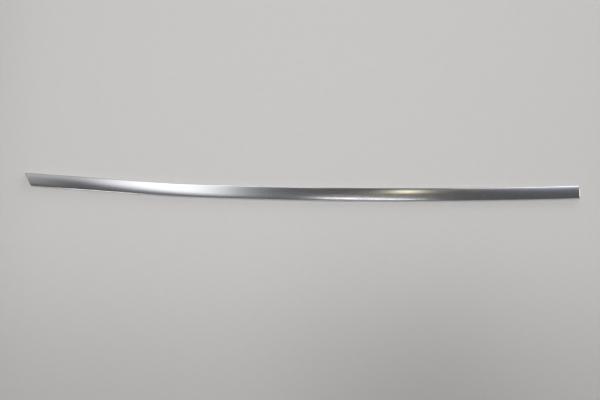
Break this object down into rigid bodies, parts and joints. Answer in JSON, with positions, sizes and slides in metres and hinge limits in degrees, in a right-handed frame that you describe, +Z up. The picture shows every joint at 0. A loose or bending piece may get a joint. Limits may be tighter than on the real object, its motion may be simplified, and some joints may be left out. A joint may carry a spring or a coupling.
{
  "type": "window moulding",
  "caption": "Slim curved trim strip with a crowned satin face, flanges with turned-in lips for its clips, one end mitred and the other pressed shut.",
  "frame": {"origin": "centre of the bounding box in plan, at the level of the undersides of the two lips, which the moulding lies on", "axes": "+X along the chord from the mitred end to the pressed end, +Z up out of the crowned face, +Y towards the inside of the long bend"},
  "size_m": [0.9238, 0.0357, 0.009],
  "materials": {
    "satin_aluminium": "satin"
  },
  "bodies": {
    "root": {"window_moulding": "satin_aluminium"}
  },
  "joints": []
}
